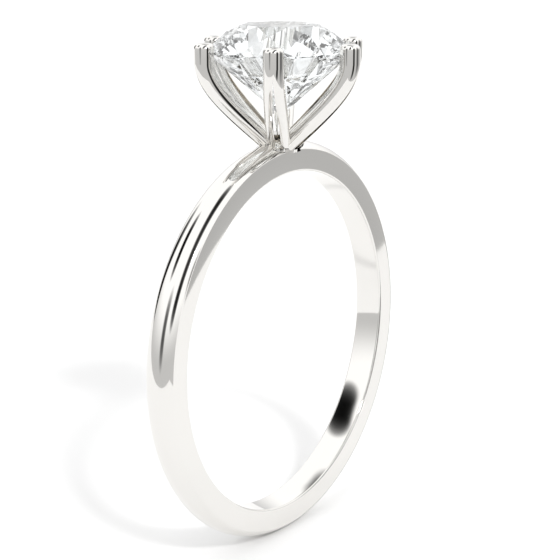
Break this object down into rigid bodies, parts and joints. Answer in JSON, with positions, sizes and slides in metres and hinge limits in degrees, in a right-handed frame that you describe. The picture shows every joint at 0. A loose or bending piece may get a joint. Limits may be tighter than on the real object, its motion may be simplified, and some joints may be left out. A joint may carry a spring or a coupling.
{
  "type": "engagement ring",
  "caption": "Six-claw solitaire ring: a plain court-section band, a soldered head of forked claws and a round brilliant stone.",
  "frame": {"origin": "centre of the finger bore, on the finger axis", "axes": "+Y along the finger axis, +Z from the bore's centre up to the stone, +X completes the frame"},
  "size_m": [0.0202, 0.009, 0.026],
  "materials": {
    "platinum": "polished",
    "diamond": "polished"
  },
  "bodies": {
    "root": {"shank": "platinum", "head_peg": "platinum", "claw_1": "platinum", "claw_2": "platinum", "claw_3": "platinum", "claw_4": "platinum", "claw_5": "platinum", "claw_6": "platinum", "centre_stone": "diamond"}
  },
  "joints": []
}
